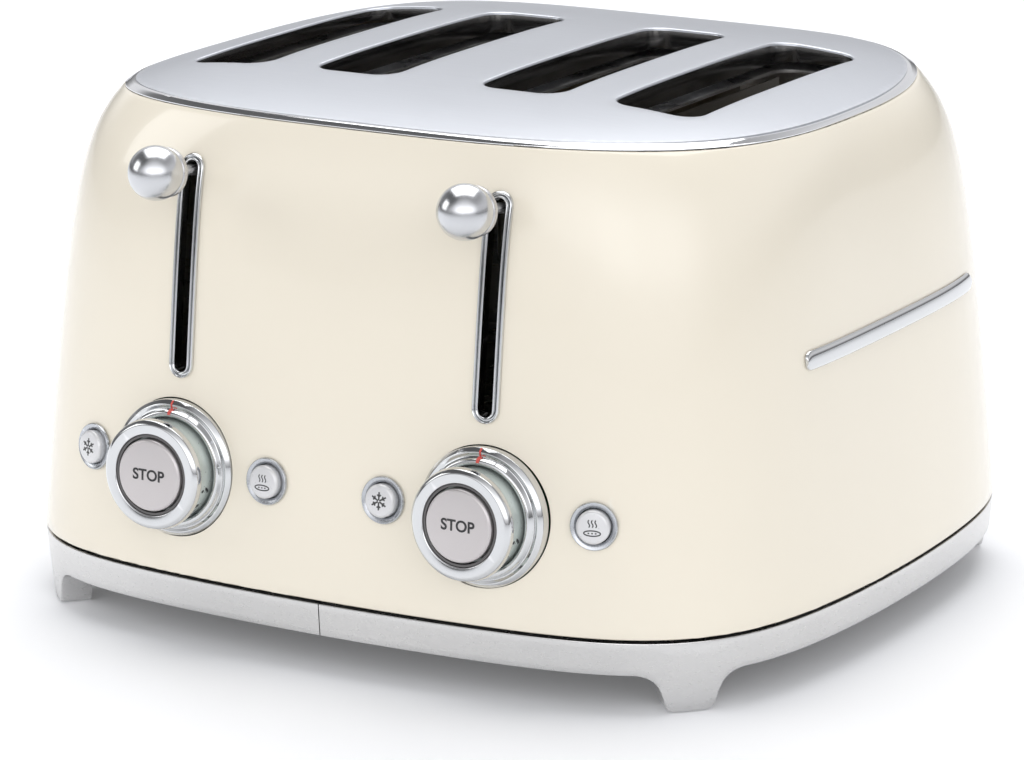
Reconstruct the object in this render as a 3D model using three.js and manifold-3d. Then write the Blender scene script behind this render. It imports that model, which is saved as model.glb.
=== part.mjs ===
// A four-slice pop-up toaster in millimetres, +Z up, controls at -Y, standing on z = 0.
// Two separate toasting halves stand side by side in one enamelled casing. Each half has a lever,
// a bread carriage, self-centring guards, a browning dial with a stop button, and two function buttons.
import * as THREE from "three";
import { mergeVertices } from "three/addons/utils/BufferGeometryUtils.js";
import Module from "manifold-3d";

// ---- Driving dimensions ----

const gap = 0.35; // air between two pieces that touch
const slack = 0.6; // air round a piece that moves

// The plan is |x / halfWidth|^endRound + |y / halfDepth|^faceRound = 1, with its sides bowed a little.
const basePlan = { halfWidth: 165, halfDepth: 149, endRound: 6.8, faceRound: 5.5, bowX: 0.09, bowY: 0.09 };
const sideLean = 27.4; // how far each side wall leans in from its bottom edge to the rim
const endLean = 27; // the same for the front and back walls
const rimPlan = {
  halfWidth: basePlan.halfWidth - sideLean,
  halfDepth: basePlan.halfDepth - endLean,
  endRound: 3.5,
  faceRound: 2.2,
  bowX: -0.1,
  bowY: 0.01,
};
const leanShare = 0.73; // share of the walls' inward lean that is straight; the rest is the shoulder
const shoulderPower = 9;
const casingBottom = 28;
const casingWall = 1.2;
const ringSegments = 48;
const casingLevels = [0, 0.3, 0.6, 0.78, 0.88, 0.94, 0.97];
const liningLevels = [0.97, 0.9, 0.78, 0];

// The top is a shallow dome that falls away to the sides and to the front and back.
const crown = { height: 205.5, sideDrop: 10.9, sidePower: 4.5, endDrop: 7.4, endPower: 3 };
const topThickness = 1.2;
const rimWidth = 2.2;

const bandTop = 26.8;
const bandBottom = 14.5;
const bandWall = 3;
const footInset = 2.3; // how far the band's wall leans in from the casing's bottom to the table
const foot = { halfBottom: 8.8, halfTop: 20, corner: 2.6, thickness: 10, lift: 0.5 };
const pad = { radius: 3.4, height: 2.6 };
const seam = 0.4;

const pan = { floor: 15.4, thickness: 2.4, wall: 2.2, clearance: 4.9 };

const slot = { width: 34.5, front: -66.7, back: 68.2, corner: 9, innerX: 35.3, outerX: 90.6 };
const lip = { clearance: 2.77, wall: 1.2 }; // the turned-down edges end this far above the deck
const deck = { depth: 9, thickness: 1.2, margin: 8 };

const chamber = { front: -78, back: 79, bottom: 48, wall: 0.8, halfWidth: 119 };
const boardThickness = 1.4;
const boardDrop = 7.68; // from the top of the chamber walls to the top of the boards
const boardTab = [105, 135]; // the heights between which a board's tabs reach the chamber walls
const endRoom = 7; // free space between the chamber walls and the ends of the boards and guards
const guard = { thickness: 0.8, drop: 2.68, bottom: 58, bars: 5, bar: 5, band: 11, standOff: 2 };

const leverTravel = 68;
const lever = { x: 64.3, faceHeight: 175.6, reach: 24, ball: 10.1, tilt: 8, arm: 2 };
const leverSlot = { top: 179.2, bottom: 102.8, halfWidth: 2.7, bezel: 2.6, stand: 1.5 };
const cap = { radius: 9.2, length: 3.4 };

const rod = { radius: 3, x: 50, y: -100, sides: 12 };
const carriage = { web: 22, thickness: 2.2, rackHeight: 110, barHeight: 12, barY: -88 };
const bush = { bottom: 130, top: 150, halfWidth: 9 };
const rack = { thickness: 2, height: 8, back: 66, tray: 14 };
const spring = { radius: 6, wire: 0.7, turns: 8, seat: 5, stepsPerTurn: 7 };

const dial = { x: 65.2, z: 67.3, tilt: 3, frontOut: 17, radius: 20.6, skirt: 18.6, hub: 5.4, bore: 3.4 };
const bezelRadius = 25.4;
const panTop = dial.z - bezelRadius - pan.clearance; // the pan's wall ends below the dials
const stop = { radius: 13.3, out: 17.6 };
const pressTravel = 1.5; // how far a stop or function button goes in
const button = { inner: 40, outer: 41.2, z: 68.1, radius: 6.1, ring: 8.8, out: 3.4, stem: 2.4 };

const board = { y: -123.5, thickness: 1.6, top: 90, inner: 14, outer: 103, encoder: 3.5 };
const magnet = { width: 16, depth: 14, bottom: 42, height: 12, x: 18 };

const tray = { floor: 37.4, thickness: 0.8, lipHeight: 3, halfWidth: 50, front: -73 };
const trayFace = { bottom: 36, height: 12, thickness: 2.4, grip: 5 };

const gland = { z: 66, radius: 9, hole: 4.2, out: 4 };
const trim = { z: 117, y: 6, length: 142, height: 7, out: 1.6 };

// ---- Materials ----

const finish = (color, roughness, metalness) => ({ color, roughness, metalness });
const enamel = finish(0xeee6d2, 0.16, 0);
const brushedSteel = finish(0xb4bac6, 0.3, 1);
const chrome = finish(0xd8dadc, 0.08, 1);
const satinAluminium = finish(0xc4c4c6, 0.32, 1);
const sheetSteel = finish(0x8c8c8e, 0.35, 1);
const wireSteel = finish(0xc0c0c0, 0.22, 1);
const blackPlastic = finish(0x161616, 0.5, 0);
const rubber = finish(0x1c1c1c, 0.85, 0);
const mica = finish(0xa89a80, 0.7, 0);
const circuitBoard = finish(0x1d5a38, 0.5, 0);
const dialSilver = finish(0xc6cecb, 0.3, 0.8);
const capSilver = finish(0xc9c6c8, 0.35, 0.6);

// ---- Solids ----

const wasm = await Module();
wasm.setup();

function toSolid(geometry) {
  const bare = new THREE.BufferGeometry().setAttribute("position", geometry.getAttribute("position"));
  if (geometry.index) bare.setIndex(geometry.index);
  const merged = mergeVertices(bare, 1e-4);
  return new wasm.Manifold(
    new wasm.Mesh({
      numProp: 3,
      vertProperties: Float32Array.from(merged.attributes.position.array),
      triVerts: Uint32Array.from(merged.index.array),
    }),
  );
}

function toGeometry(solid) {
  const mesh = solid.getMesh();
  const points = new THREE.BufferAttribute(Float32Array.from(mesh.vertProperties), 3);
  return new THREE.BufferGeometry()
    .setAttribute("position", points)
    .setIndex(new THREE.BufferAttribute(Uint32Array.from(mesh.triVerts), 1));
}

const join = (...solids) => solids.reduce((a, b) => a.add(b));
const cut = (solid, ...tools) => tools.reduce((a, b) => a.subtract(b), solid);

// A box between two corners.
function block([x0, x1], [y0, y1], [z0, z1]) {
  const box = new THREE.BoxGeometry(x1 - x0, y1 - y0, z1 - z0);
  return toSolid(box.translate((x0 + x1) / 2, (y0 + y1) / 2, (z0 + z1) / 2));
}

// A round bar from one point to another.
function bar(radius, from, to, sides = 16) {
  const start = new THREE.Vector3(...from);
  const run = new THREE.Vector3(...to).sub(start);
  const shape = new THREE.CylinderGeometry(radius, radius, run.length(), sides);
  shape.translate(0, run.length() / 2, 0);
  shape.applyQuaternion(new THREE.Quaternion().setFromUnitVectors(up, run.clone().normalize()));
  return toSolid(shape.translate(start.x, start.y, start.z));
}
const up = new THREE.Vector3(0, 1, 0);

// A turned piece: its profile is [radius, height along the axis] pairs, and frame places the axis.
// A profile that keeps off the axis is closed back to its first point.
function turned(profile, frame, sides = 24) {
  const hollow = profile[0][0] > 0;
  const points = (hollow ? [...profile, profile[0]] : profile).map(([r, h]) => new THREE.Vector2(r, h));
  return toSolid(new THREE.LatheGeometry(points, sides).applyMatrix4(frame));
}

const extrusion = (depth) => ({ depth, bevelEnabled: false, curveSegments: 2 });

// A flat outline in x and y, pushed up from one height to another.
function upright(shape, bottom, top) {
  return toSolid(new THREE.ExtrudeGeometry(shape, extrusion(top - bottom)).translate(0, 0, bottom));
}

// An outline with round corners.
function roundedOutline([x0, x1], [y0, y1], radius) {
  const shape = new THREE.Shape();
  shape.absarc(x1 - radius, y0 + radius, radius, -Math.PI / 2, 0);
  shape.absarc(x1 - radius, y1 - radius, radius, 0, Math.PI / 2);
  shape.absarc(x0 + radius, y1 - radius, radius, Math.PI / 2, Math.PI);
  shape.absarc(x0 + radius, y0 + radius, radius, Math.PI, 1.5 * Math.PI);
  shape.closePath();
  return shape;
}

// A skin over rings of points that all run anticlockwise. A closed one joins its last ring to its
// first; an open one is capped at both ends.
function loft(rings, closed) {
  const count = rings[0].length;
  const points = rings.flat();
  const faces = [];
  const spans = closed ? rings.length : rings.length - 1;
  for (let level = 0; level < spans; level++) {
    const low = level * count;
    const high = ((level + 1) % rings.length) * count;
    for (let i = 0; i < count; i++) {
      const j = (i + 1) % count;
      faces.push(low + i, low + j, high + j, low + i, high + j, high + i);
    }
  }
  if (!closed) {
    for (const [ring, start, flip] of [[rings[0], 0, true], [rings.at(-1), points.length - count, false]]) {
      const centre = points.length;
      points.push(ring.reduce((sum, p) => sum.add(p), new THREE.Vector3()).divideScalar(count));
      for (let i = 0; i < count; i++) {
        const j = (i + 1) % count;
        faces.push(centre, ...(flip ? [start + j, start + i] : [start + i, start + j]));
      }
    }
  }
  return toSolid(new THREE.BufferGeometry().setFromPoints(points).setIndex(faces));
}

// ---- The casing's form ----

function planPoint(plan, angle, inset = 0) {
  const even = (plan.endRound + plan.faceRound) / 4;
  const across = Math.abs(Math.cos(angle)) ** even;
  const along = Math.abs(Math.sin(angle)) ** even;
  const x = (across / Math.hypot(across, along)) ** (2 / plan.endRound);
  const y = (along / Math.hypot(across, along)) ** (2 / plan.faceRound);
  return [
    Math.sign(Math.cos(angle)) * (plan.halfWidth - inset) * x * (1 - plan.bowX * y * y),
    Math.sign(Math.sin(angle)) * (plan.halfDepth - inset) * y * (1 - plan.bowY * x * x),
  ];
}

function crownHeight(x, y) {
  const sideFall = crown.sideDrop * Math.abs(x / rimPlan.halfWidth) ** crown.sidePower;
  const endFall = crown.endDrop * Math.abs(y / rimPlan.halfDepth) ** crown.endPower;
  return crown.height - sideFall - endFall;
}

const meanRim = crown.height - (crown.sideDrop + crown.endDrop) / 2;

// A point of the casing: level is 0 at its bottom edge and 1 at the rim, whose height follows the dome.
function casingPoint(level, angle, inset = 0) {
  const lean = leanShare * level + (1 - leanShare) * level ** shoulderPower;
  const plan = {};
  for (const key of Object.keys(basePlan)) {
    plan[key] = THREE.MathUtils.lerp(basePlan[key], rimPlan[key], lean);
  }
  const [x, y] = planPoint(plan, angle, inset);
  const rim = crownHeight(...planPoint(rimPlan, angle));
  const z = casingBottom + level * (meanRim - casingBottom) + level ** 3 * (rim - meanRim);
  return new THREE.Vector3(x, y, z);
}

const angles = Array.from({ length: ringSegments }, (_, i) => ((i + 0.5) * 2 * Math.PI) / ringSegments);
const casingRing = (level, inset) => angles.map((angle) => casingPoint(level, angle, inset));

// Where the wall stands at height z, facing the given way: -1 is the front and 1 the back.
function facePoint(x, z, side = -1) {
  let level = (z - casingBottom) / (meanRim - casingBottom);
  let point = null;
  for (let tries = 0; tries < 12; tries++) {
    let low = 0;
    let high = Math.PI;
    for (let halvings = 0; halvings < 40; halvings++) {
      const angle = (low + high) / 2;
      point = casingPoint(level, angle * side);
      if (point.x > x) low = angle;
      else high = angle;
    }
    level += (z - point.z) / (meanRim - casingBottom);
  }
  return point;
}

function faceNormal(x, z) {
  const step = 2;
  const across = facePoint(x + step, z).sub(facePoint(x - step, z));
  const rise = facePoint(x, z + step).sub(facePoint(x, z - step));
  return across.cross(rise).normalize();
}

// A frame on the front face whose own Y points outwards along the given direction.
function frameAt(origin, outward) {
  const turn = new THREE.Quaternion().setFromUnitVectors(up, outward);
  return new THREE.Matrix4().compose(origin, turn, new THREE.Vector3(1, 1, 1));
}

// ---- Assembly ----

const toaster = new THREE.Group();

function part(name, solid, look, group = toaster) {
  const mesh = new THREE.Mesh(toGeometry(solid), new THREE.MeshStandardMaterial(look));
  mesh.name = name;
  group.add(mesh);
}

const sides = [
  ["left", -1],
  ["right", 1],
];
// A half's measures are written for the right half: span turns them to the half's own side.
const span = (side, a, b) => [Math.min(side * a, side * b), Math.max(side * a, side * b)];

// Base band: a thin skirt in two halves that meet at the front and the back, with a leg at each corner.
function bandRing(z, inset) {
  const share = 1 - (footInset / basePlan.halfWidth) * (1 - z / casingBottom);
  return angles.map((angle) => {
    const [x, y] = planPoint(basePlan, angle, inset);
    return new THREE.Vector3(x * share, y * share, z);
  });
}
const bandBody = (bottom, top, inset) =>
  loft([bandRing(bottom, 0), bandRing(top, 0), bandRing(top, inset), bandRing(bottom, inset)], true);

function footOutline() {
  const { halfBottom, halfTop, corner, lift } = foot;
  const shape = new THREE.Shape();
  shape.moveTo(-halfBottom + corner, lift);
  shape.lineTo(halfBottom - corner, lift);
  shape.quadraticCurveTo(halfBottom, lift, halfBottom + 0.5, lift + corner);
  shape.bezierCurveTo(halfBottom + 2, 7, halfBottom + 2.5, bandBottom - 1, halfTop, bandBottom + 0.1);
  shape.lineTo(halfTop, bandBottom + 2);
  shape.lineTo(-halfTop, bandBottom + 2);
  shape.lineTo(-halfTop, bandBottom + 0.1);
  shape.bezierCurveTo(
    -halfBottom - 2.5,
    bandBottom - 1,
    -halfBottom - 2,
    7,
    -halfBottom - 0.5,
    lift + corner,
  );
  shape.quadraticCurveTo(-halfBottom, lift, -halfBottom + corner, lift);
  return shape;
}

const footPlaces = [
  ["front_left", -1, -1],
  ["front_right", 1, -1],
  ["back_left", -1, 1],
  ["back_right", 1, 1],
].map(([name, sideX, sideY]) => {
  const [x, y] = planPoint(basePlan, Math.atan2(sideY, sideX), footInset + foot.thickness / 2);
  const outward = Math.atan2(sideY * basePlan.halfWidth, sideX * basePlan.halfDepth);
  return { name, x, y, outward };
});

const legRing = bandBody(0, pan.floor - gap, foot.thickness);
const padHole = ({ x, y }) => bar(pad.radius + gap, [x, y, -1], [x, y, pad.height + gap], 12);
const legs = footPlaces.map((place) => {
  const reach = 40;
  const outline = new THREE.ExtrudeGeometry(footOutline(), { ...extrusion(reach), curveSegments: 4 });
  outline.rotateX(Math.PI / 2).translate(0, reach / 2, 0);
  outline.rotateZ(place.outward - Math.PI / 2).translate(place.x, place.y, 0);
  return toSolid(outline).intersect(legRing).subtract(padHole(place));
});
const skirt = bandBody(bandBottom, bandTop, bandWall);
const wide = 2 * basePlan.halfWidth;
const tall = 2 * crown.height;
for (const [name, side] of sides) {
  const ownLegs = legs.filter((leg, i) => footPlaces[i].x * side > 0);
  const half = block(span(side, seam / 2, wide), [-wide, wide], [-1, tall]);
  part(`base_band_${name}`, join(skirt.intersect(half), ...ownLegs), satinAluminium);
}
for (const { name, x, y } of footPlaces) {
  part(`foot_pad_${name}`, bar(pad.radius, [x, y, 0], [x, y, pad.height], 12), rubber);
}

// Base pan: the moulded floor, whose wall stands inside the band and locates the casing.
const panInset = bandWall + gap;
const trayOpening = (side) => block(
  span(side, trayCentre - tray.halfWidth - slack, trayCentre + tray.halfWidth + slack),
  [0, wide],
  [trayFace.bottom - slack, trayFace.bottom + trayFace.height + slack],
);
const trayCentre = (slot.innerX + slot.outerX) / 2;
const panRing = (z, inset) => bandRing(z, panInset + inset);
const panShell = loft(
  [
    panRing(pan.floor, 0),
    panRing(bandTop, 0),
    casingRing(0, casingWall + gap + 1),
    casingRing(0, casingWall + gap + 1).map((p) => p.setZ(panTop)),
    casingRing(0, casingWall + gap + 1 + pan.wall).map((p) => p.setZ(panTop)),
    panRing(pan.floor + pan.thickness, pan.wall),
  ],
  false,
);
part("base_pan", cut(panShell, ...sides.map(([, side]) => trayOpening(side))), blackPlastic);

// Casing: one wrapped and enamelled sheet, open below and above, with the holes of the controls.
const dialPlaces = {};
const buttonPlaces = [];
for (const [name, side] of sides) {
  const tilt = THREE.MathUtils.degToRad(dial.tilt);
  const outward = new THREE.Vector3(0, -Math.cos(tilt), Math.sin(tilt));
  dialPlaces[name] = frameAt(facePoint(side * dial.x, dial.z), outward);
  for (const [use, x] of [
    ["defrost", side * dial.x - button.inner],
    ["bagel", side * dial.x + button.outer],
  ]) {
    const frame = frameAt(facePoint(x, button.z), faceNormal(x, button.z));
    buttonPlaces.push({ name: `${use}_${name}`, frame });
  }
}

// The slot that the lever runs in, widened by grow, as a cutter through the front wall.
function leverCutter(side, grow) {
  const half = leverSlot.halfWidth + grow;
  const x = side * lever.x;
  const heights = [leverSlot.bottom - grow, leverSlot.top + grow];
  const shape = roundedOutline([x - half, x + half], heights, half - 0.01);
  const extruded = new THREE.ExtrudeGeometry(shape, extrusion(wide));
  return toSolid(extruded.rotateX(Math.PI / 2).translate(0, rod.y, 0));
}

const bezelCollar = 1.2; // the part of a bezel that passes through the wall
const plug = (radius) => [[0, -20], [radius, -20], [radius, 20], [0, 20]];
const casingTop = casingLevels.at(-1);
const casingShell = loft(
  [
    ...casingLevels.map((level) => casingRing(level, 0)),
    ...liningLevels.map((level) => casingRing(level, casingWall)),
  ],
  true,
);
part(
  "casing",
  cut(
    casingShell,
    ...sides.map(([, side]) => leverCutter(side, bezelCollar + gap)),
    ...sides.map(([, side]) => trayOpening(side)),
    ...sides.map(([name]) => turned(plug(bezelRadius + gap), dialPlaces[name])),
    ...buttonPlaces.map(({ frame }) => turned(plug(button.ring - 1.2), frame, 14)),
    bar(gland.radius + gap, [0, 0, gland.z], [0, wide, gland.z]),
  ),
  enamel,
);

// Top plate: the brushed dome, with four slots whose edges are turned down, and a polished rim that
// closes on the casing's top edge.
const slots = sides.flatMap(([name, side]) => [
  { name: `${name}_inner`, x: side * slot.innerX, half: name, side },
  { name: `${name}_outer`, x: side * slot.outerX, half: name, side },
]);
const slotOutline = (x, grow) => roundedOutline(
  [x - slot.width / 2 - grow, x + slot.width / 2 + grow],
  [slot.front - grow, slot.back + grow],
  slot.corner + grow,
);
const domeShares = [1, 0.86, 0.62, 0.28];
const plateInset = rimWidth - 0.4;
// A ring of the dome at a share of the way out from its middle, sunk below the surface.
const domeRing = (share, inset, sunk) => angles.map((angle) => {
  const [x, y] = planPoint(rimPlan, angle, inset).map((value) => value * share);
  return new THREE.Vector3(x, y, crownHeight(x, y) - sunk);
});
const dome = (inset, top, bottom) => loft(
  [
    ...domeShares.toReversed().map((share) => domeRing(share, inset, bottom)),
    ...domeShares.map((share) => domeRing(share, inset, top)),
  ],
  false,
);
const lipBlank = dome(plateInset, 0, 3 * deck.depth);
const deckTop = crown.height - deck.depth - crown.sideDrop * 0.3;
const lipBottom = deckTop + lip.clearance;
const lips = slots.map(({ x }) => lipBlank.intersect(upright(slotOutline(x, lip.wall), lipBottom, tall)));
const polishedRim = loft(
  [
    casingRing(casingTop, 0.2).map((p) => p.add(new THREE.Vector3(0, 0, gap))),
    casingRing(0.985, 0),
    casingRing(1, 0.2),
    casingRing(1, rimWidth).map((p) => p.add(new THREE.Vector3(0, 0, 0.3))),
    casingRing(1, rimWidth + 0.6).map((p) => p.add(new THREE.Vector3(0, 0, -0.6))),
    casingRing(casingTop, rimWidth + 0.6).map((p) => p.add(new THREE.Vector3(0, 0, gap))),
  ],
  true,
);
part(
  "top_plate",
  cut(
    join(dome(plateInset, 0, topThickness), polishedRim, ...lips),
    ...slots.map(({ x }) => upright(slotOutline(x, 0), meanRim - 30, tall)),
  ),
  brushedSteel,
);

// Deck: the flat sheet under the top plate that the guards hang from, open under each slot.
const deckHalfWidth = slot.outerX + slot.width / 2 + deck.margin;
const deckEnds = [chamber.front - 4, chamber.back + 4];
const deckOutline = roundedOutline([-deckHalfWidth, deckHalfWidth], deckEnds, 26);
part(
  "deck",
  cut(
    upright(deckOutline, deckTop - deck.thickness, deckTop),
    ...slots.map(({ x }) => upright(slotOutline(x, -0.8), deckTop - 5, deckTop + 5)),
  ),
  sheetSteel,
);

// Chamber walls: upright sheets before and behind the slots, which carry the boards and the rods.
const wallTop = deckTop - deck.thickness - gap;
const wallOutline = roundedOutline(
  [-chamber.halfWidth, chamber.halfWidth],
  [pan.floor + pan.thickness + gap, wallTop],
  9,
);
function chamberWall(y) {
  const extruded = new THREE.ExtrudeGeometry(wallOutline, extrusion(chamber.wall));
  return toSolid(extruded.rotateX(Math.PI / 2).translate(0, y + chamber.wall, 0));
}
const trayPath = (side) => block(
  span(side, trayCentre - tray.halfWidth - slack, trayCentre + tray.halfWidth + slack),
  [0, wide],
  [tray.floor - slack, tray.floor + tray.lipHeight + slack],
);
const rackHalf = rack.thickness / 2 + slack;
const rackSlits = slots.map(({ x }) => block(
  [x - rackHalf, x + rackHalf],
  [chamber.front - 5, chamber.front + 5],
  [carriage.rackHeight - leverTravel - slack, carriage.rackHeight + rack.height + slack],
));
const backWall = chamberWall(chamber.back - chamber.wall);
part("chamber_wall_front", cut(chamberWall(chamber.front), ...rackSlits), sheetSteel);
part("chamber_wall_back", cut(backWall, ...sides.map(([, side]) => trayPath(side))), sheetSteel);

// Heating boards: sheets wound with ribbon, on both sides of every slot. The middle one serves two slots.
const innerFront = chamber.front + chamber.wall;
const innerBack = chamber.back - chamber.wall;
const boardPlaces = {
  centre: slot.innerX - slot.width / 2 - 8.5,
  middle: (slot.innerX + slot.outerX) / 2,
  outer: slot.outerX + slot.width / 2 + 8.2,
};
for (const [name, side] of sides) {
  for (const [place, x] of Object.entries(boardPlaces)) {
    const across = span(side, x - boardThickness / 2, x + boardThickness / 2);
    const along = [innerFront + endRoom, innerBack - endRoom];
    const sheet = block(across, along, [chamber.bottom, wallTop - boardDrop]);
    const tabs = block(across, [innerFront + gap, innerBack - gap], boardTab);
    part(`heating_board_${place}_${name}`, join(sheet, tabs), mica);
  }
}

const guardTop = wallTop - guard.drop;

// Bread guards: pressed grids on both sides of every slot, which close in on the bread as the lever
// goes down.
function guardGrid(x) {
  const front = innerFront + endRoom;
  const back = innerBack - endRoom;
  const across = [x - guard.thickness / 2, x + guard.thickness / 2];
  const pitch = (back - front - guard.bar) / guard.bars;
  const windows = Array.from({ length: guard.bars }, (_, i) => {
    const start = front + guard.bar + i * pitch;
    const heights = [guard.bottom + guard.bar, guardTop - guard.band];
    return block([x - 5, x + 5], [start, start + pitch - guard.bar], heights);
  });
  return cut(block(across, [front, back], [guard.bottom, guardTop]), ...windows);
}
const guardX = slot.width / 2 + guard.standOff;
for (const { name, x, side } of slots) {
  part(`bread_guard_${name}_outward`, guardGrid(x - side * guardX), wireSteel);
  part(`bread_guard_${name}_inward`, guardGrid(x + side * guardX), wireSteel);
}

// Lever slot bezels: two bright ridges round each slot, following the curve of the wall.
function slotStations() {
  const straight = leverSlot.top - leverSlot.bottom - 2 * leverSlot.halfWidth;
  const topCentre = leverSlot.top - leverSlot.halfWidth;
  const bottomCentre = topCentre - straight;
  const stations = [];
  const arcSteps = 5;
  const sideSteps = 4;
  for (const [centre, start, way] of [[topCentre, 0, -1], [bottomCentre, Math.PI, 1]]) {
    for (let i = 0; i <= arcSteps; i++) stations.push([centre, start + (i * Math.PI) / arcSteps]);
    for (let i = 1; i < sideSteps; i++) {
      stations.push([centre + (i / sideSteps) * straight * way, start + Math.PI]);
    }
  }
  return stations;
}
const bezelSection = [
  [0, 0.8],
  [0.5, leverSlot.stand],
  [1, 0.7],
  [leverSlot.bezel - 1, 0.7],
  [leverSlot.bezel - 0.5, leverSlot.stand],
  [leverSlot.bezel, gap],
  [bezelCollar, gap],
  [bezelCollar, -3.2],
  [0, -3.2],
];
for (const [name, side] of sides) {
  const rings = slotStations().map(([centre, angle]) => bezelSection.map(([out, high]) => {
    const reach = leverSlot.halfWidth + out;
    const x = side * lever.x + Math.cos(angle) * reach;
    const z = centre + Math.sin(angle) * reach;
    return new THREE.Vector3(x, facePoint(x, z).y - high, z);
  }));
  part(`lever_bezel_${name}`, loft(rings, true), chrome);
}

// Lever knobs: a bright ball with a turned cap behind it, pushed on the end of the carriage's arm.
const webY = carriage.barY + 2;
const leverTilt = THREE.MathUtils.degToRad(lever.tilt);
const leverOut = new THREE.Vector3(0, -Math.cos(leverTilt), Math.sin(leverTilt));
const leverFrame = (side) => frameAt(facePoint(side * lever.x, lever.faceHeight), leverOut);
const backCut = lever.reach - 4.6; // how far out the ball's flat back is
const armEnd = backCut - cap.length - gap;
for (const [name, side] of sides) {
  const frame = leverFrame(side);
  const ball = new THREE.SphereGeometry(lever.ball, 20, 10).translate(0, lever.reach, 0);
  ball.applyMatrix4(frame);
  const rim = lever.ball + 4;
  const behind = turned([[0, backCut - 20], [rim, backCut - 20], [rim, backCut], [0, backCut]], frame, 12);
  const capProfile = [
    [0, backCut - cap.length],
    [cap.radius - 1, backCut - cap.length],
    [cap.radius, backCut - cap.length + 1],
    [cap.radius, backCut + 1],
    [0, backCut + 1],
  ];
  const knob = join(toSolid(ball).subtract(behind), turned(capProfile, frame, 20));
  part(`lever_knob_${name}`, knob, chrome);
}

// Carriages: a pressed web on a sliding bush, with the lever's arm, and a cross bar that carries the
// bread racks.
const keeperHeight = magnet.bottom + magnet.height + gap + leverTravel;
for (const [name, side] of sides) {
  const x = side * lever.x;
  const rodX = side * rod.x;
  const slider = cut(
    block([rodX - bush.halfWidth, rodX + bush.halfWidth], [rod.y - 8, webY], [bush.bottom, bush.top]),
    bar(rod.radius + slack / 2, [rodX, rod.y, 0], [rodX, rod.y, tall], rod.sides),
  );
  const web = block(
    [x - carriage.web / 2, x + carriage.web / 2],
    [webY - carriage.thickness, webY],
    [carriage.rackHeight, lever.faceHeight + 6],
  );
  const cross = block(
    span(side, slot.innerX - 7, slot.outerX + 7),
    [carriage.barY, webY],
    [carriage.rackHeight - 2, carriage.rackHeight + carriage.barHeight],
  );
  const keeper = block(
    span(side, lever.x + magnet.x - magnet.width / 2, lever.x + magnet.x + magnet.width / 2),
    [board.y + 6, webY],
    [keeperHeight, keeperHeight + 2],
  );
  const strut = block(
    span(side, lever.x + 4, lever.x + magnet.x + 4),
    [webY - carriage.thickness, webY],
    [keeperHeight - 3, keeperHeight + 2],
  );
  const entry = facePoint(x, lever.faceHeight);
  const armTip = new THREE.Vector3(0, armEnd, 0).applyMatrix4(leverFrame(side)).toArray();
  const armEntry = [x, entry.y + 8, entry.z - lever.arm / 2];
  const armRoot = [x, webY - carriage.thickness / 2, armEntry[2]];
  const arm = join(bar(lever.arm, armEntry, armTip, 12), bar(lever.arm, armRoot, armEntry, 12));
  part(`carriage_${name}`, join(web, slider, cross, keeper, strut, arm), sheetSteel);
}

// Bread racks: a flat bar through a slit in the front wall, with rungs that the bread stands on.
for (const { name, x } of slots) {
  const z = carriage.rackHeight;
  const stem = block(
    [x - rack.thickness / 2, x + rack.thickness / 2],
    [webY + gap, rack.back],
    [z, z + rack.height],
  );
  const rungs = [-50, -26, -2, 22, 46].map((y) => block(
    [x - rack.tray / 2, x + rack.tray / 2],
    [y - 1, y + 1],
    [z + rack.height - 2, z + rack.height],
  ));
  part(`bread_rack_${name}`, join(stem, ...rungs), wireSteel);
}

// Guide rods stand on the base, and each has a spring round it that pushes the carriage up.
const rodFoot = pan.floor + pan.thickness + gap;
class Coil extends THREE.Curve {
  constructor(x, bottom, top) {
    super();
    Object.assign(this, { x, bottom, top });
  }
  getPoint(share, target = new THREE.Vector3()) {
    const turn = share * spring.turns * 2 * Math.PI;
    const z = this.bottom + share * (this.top - this.bottom);
    return target.set(this.x + spring.radius * Math.cos(turn), rod.y + spring.radius * Math.sin(turn), z);
  }
}
for (const [name, side] of sides) {
  const x = side * rod.x;
  const shaft = bar(rod.radius, [x, rod.y, rodFoot], [x, rod.y, wallTop], rod.sides);
  part(`guide_rod_${name}`, shaft, wireSteel);
  const section = new THREE.Shape().absarc(0, 0, spring.wire, 0, 2 * Math.PI);
  const low = rodFoot + spring.seat;
  const high = bush.bottom - gap - spring.wire;
  const wire = new THREE.ExtrudeGeometry(section, {
    steps: spring.turns * spring.stepsPerTurn,
    curveSegments: 2,
    bevelEnabled: false,
    extrudePath: new Coil(x, low, high),
  });
  part(`lift_spring_${name}`, toSolid(wire), wireSteel);
}

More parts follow.
